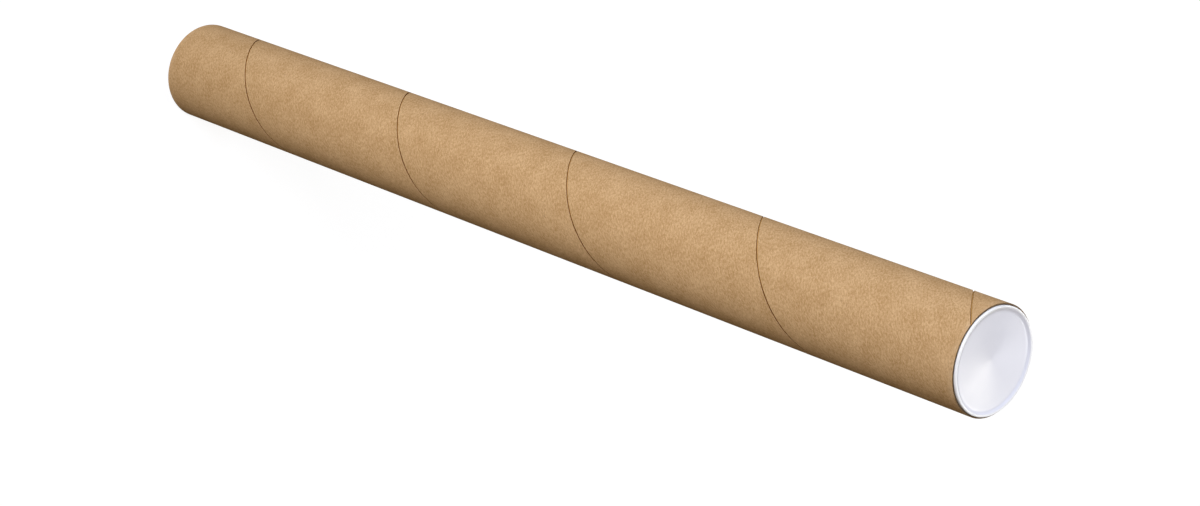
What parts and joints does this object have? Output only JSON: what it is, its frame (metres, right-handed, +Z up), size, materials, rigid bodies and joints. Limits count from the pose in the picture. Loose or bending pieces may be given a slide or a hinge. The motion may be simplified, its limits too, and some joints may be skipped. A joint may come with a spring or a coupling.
{
  "type": "cardboard mailing tube",
  "caption": "Long spiral-wound kraft paperboard mailing tube, closed at each end by a dished white push-in plastic cap that pulls out along the tube.",
  "frame": {"origin": "middle of the base, on the plane of the bottom cap's rim", "axes": "+Z up along the tube's axis; -Y is the side that faces the picture's camera"},
  "size_m": [0.0416, 0.0416, 0.4592],
  "materials": {
    "kraft_board": "matte",
    "white_plastic": "satin"
  },
  "bodies": {
    "bottom_cap": {"bottom_cap": "white_plastic"},
    "tube": {"tube": "kraft_board"},
    "top_cap": {"top_cap": "white_plastic"}
  },
  "joints": [
    {"name": "tube_lift", "type": "slide", "parent": "bottom_cap", "child": "tube", "axis": [0, 0, 1], "range_m": [0, 0.05]},
    {"name": "top_cap_pull", "type": "slide", "parent": "tube", "child": "top_cap", "axis": [0, 0, 1], "range_m": [0, 0.05]}
  ]
}
